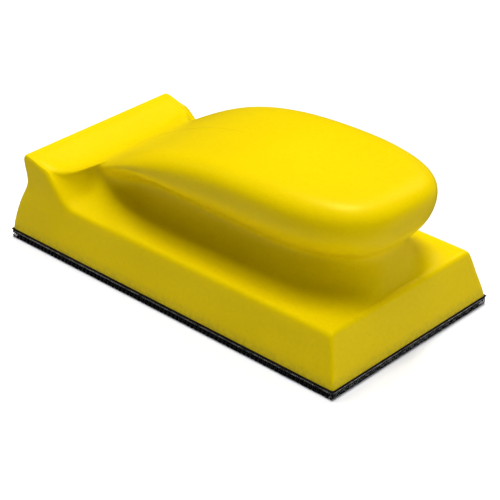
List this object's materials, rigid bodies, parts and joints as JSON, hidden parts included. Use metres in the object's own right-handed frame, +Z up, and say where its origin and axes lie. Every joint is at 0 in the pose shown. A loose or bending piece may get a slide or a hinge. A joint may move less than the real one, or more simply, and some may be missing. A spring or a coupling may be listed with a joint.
{
  "type": "sanding block",
  "caption": "Palm-grip hand sanding block: moulded foam body with a finger deck, a front lip and a raised grip, over a hook face for loop-backed abrasive strips.",
  "frame": {"origin": "bottom centre of the block, on the surface that the hooks stand on", "axes": "+X from the front lip to the rounded rear end of the grip, along the block; +Y across the block; +Z up, away from the abrasive"},
  "size_m": [0.1256, 0.0706, 0.0473],
  "materials": {
    "foam_skin": "satin",
    "adhesive": "matte",
    "hook_tape_ground": "matte",
    "hooks": "matte"
  },
  "bodies": {
    "root": {"foam_body": "foam_skin", "adhesive_film": "adhesive", "hook_tape_backing": "hook_tape_ground", "hook_rows": "hooks"}
  },
  "joints": []
}
